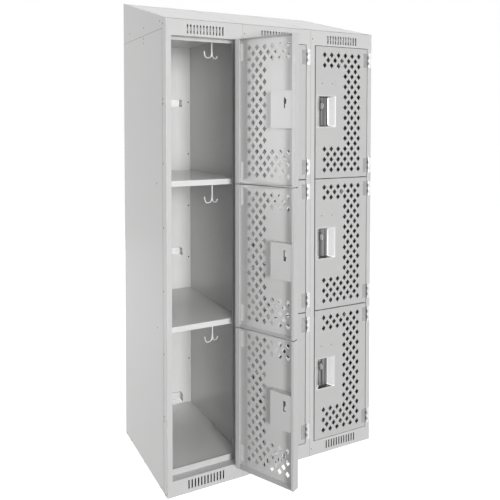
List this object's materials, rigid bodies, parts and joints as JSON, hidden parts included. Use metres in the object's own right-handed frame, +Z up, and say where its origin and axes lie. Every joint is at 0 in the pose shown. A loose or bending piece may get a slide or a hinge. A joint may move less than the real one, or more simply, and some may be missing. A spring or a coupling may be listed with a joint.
{
  "type": "three-tier locker bank",
  "caption": "Bank of full-depth steel lockers in three tiers under a sloping hood, with perforated hinged doors, recessed padlock cups, shelves and coat hooks.",
  "frame": {"origin": "middle of the cabinet's footprint, on the floor", "axes": "+Z up, the doors face -Y, +X to the right of a person who faces the doors"},
  "size_m": [0.9144, 0.7916, 1.874],
  "materials": {
    "grey_enamel": "light grey powder coat, satin",
    "stainless": "drawn stainless steel, satin",
    "zinc_plate": "bright zinc plate"
  },
  "bodies": {
    "cabinet": {"upright_left_end": "grey_enamel", "upright_left_centre": "grey_enamel", "upright_centre_right": "grey_enamel", "upright_right_end": "grey_enamel", "sill_rails": "grey_enamel", "header_rails": "grey_enamel", "side_panel_left": "grey_enamel", "side_panel_right": "grey_enamel", "divider_left": "grey_enamel", "divider_right": "grey_enamel", "back_straps": "grey_enamel", "back_panels": "grey_enamel", "shelves_lower": "grey_enamel", "shelves_upper": "grey_enamel", "floor_panels": "grey_enamel", "ceiling_panels": "grey_enamel", "hood_tops": "grey_enamel", "hood_ends": "grey_enamel", "coat_hooks": "zinc_plate", "strikes": "zinc_plate", "frame_hinges": "zinc_plate"},
    "left_bottom_door": {"door_left_bottom": "grey_enamel", "cup_left_bottom": "stainless", "cup_cover_left_bottom": "grey_enamel", "door_hinges_left_bottom": "zinc_plate"},
    "left_middle_door": {"door_left_middle": "grey_enamel", "cup_left_middle": "stainless", "cup_cover_left_middle": "grey_enamel", "door_hinges_left_middle": "zinc_plate"},
    "left_top_door": {"door_left_top": "grey_enamel", "cup_left_top": "stainless", "cup_cover_left_top": "grey_enamel", "door_hinges_left_top": "zinc_plate"},
    "centre_bottom_door": {"door_centre_bottom": "grey_enamel", "cup_centre_bottom": "stainless", "cup_cover_centre_bottom": "grey_enamel", "door_hinges_centre_bottom": "zinc_plate"},
    "centre_middle_door": {"door_centre_middle": "grey_enamel", "cup_centre_middle": "stainless", "cup_cover_centre_middle": "grey_enamel", "door_hinges_centre_middle": "zinc_plate"},
    "centre_top_door": {"door_centre_top": "grey_enamel", "cup_centre_top": "stainless", "cup_cover_centre_top": "grey_enamel", "door_hinges_centre_top": "zinc_plate"},
    "right_bottom_door": {"door_right_bottom": "grey_enamel", "cup_right_bottom": "stainless", "cup_cover_right_bottom": "grey_enamel", "door_hinges_right_bottom": "zinc_plate"},
    "right_middle_door": {"door_right_middle": "grey_enamel", "cup_right_middle": "stainless", "cup_cover_right_middle": "grey_enamel", "door_hinges_right_middle": "zinc_plate"},
    "right_top_door": {"door_right_top": "grey_enamel", "cup_right_top": "stainless", "cup_cover_right_top": "grey_enamel", "door_hinges_right_top": "zinc_plate"}
  },
  "joints": [
    {"name": "left_bottom_hinge", "type": "hinge", "parent": "cabinet", "child": "left_bottom_door", "pos_m": [-0.1686, -0.2707, 0.32708], "axis": [0, 0, 1], "range_deg": [-116, 56]},
    {"name": "left_middle_hinge", "type": "hinge", "parent": "cabinet", "child": "left_middle_door", "pos_m": [-0.1686, -0.2707, 0.86525], "axis": [0, 0, 1], "range_deg": [-116, 56]},
    {"name": "left_top_hinge", "type": "hinge", "parent": "cabinet", "child": "left_top_door", "pos_m": [-0.1686, -0.2707, 1.40342], "axis": [0, 0, 1], "range_deg": [-116, 56]},
    {"name": "centre_bottom_hinge", "type": "hinge", "parent": "cabinet", "child": "centre_bottom_door", "pos_m": [0.1362, -0.2707, 0.32708], "axis": [0, 0, 1], "range_deg": [0, 172]},
    {"name": "centre_middle_hinge", "type": "hinge", "parent": "cabinet", "child": "centre_middle_door", "pos_m": [0.1362, -0.2707, 0.86525], "axis": [0, 0, 1], "range_deg": [0, 172]},
    {"name": "centre_top_hinge", "type": "hinge", "parent": "cabinet", "child": "centre_top_door", "pos_m": [0.1362, -0.2707, 1.40342], "axis": [0, 0, 1], "range_deg": [0, 172]},
    {"name": "right_bottom_hinge", "type": "hinge", "parent": "cabinet", "child": "right_bottom_door", "pos_m": [0.441, -0.2707, 0.32708], "axis": [0, 0, 1], "range_deg": [0, 172]},
    {"name": "right_middle_hinge", "type": "hinge", "parent": "cabinet", "child": "right_middle_door", "pos_m": [0.441, -0.2707, 0.86525], "axis": [0, 0, 1], "range_deg": [0, 172]},
    {"name": "right_top_hinge", "type": "hinge", "parent": "cabinet", "child": "right_top_door", "pos_m": [0.441, -0.2707, 1.40342], "axis": [0, 0, 1], "range_deg": [0, 172]}
  ]
}
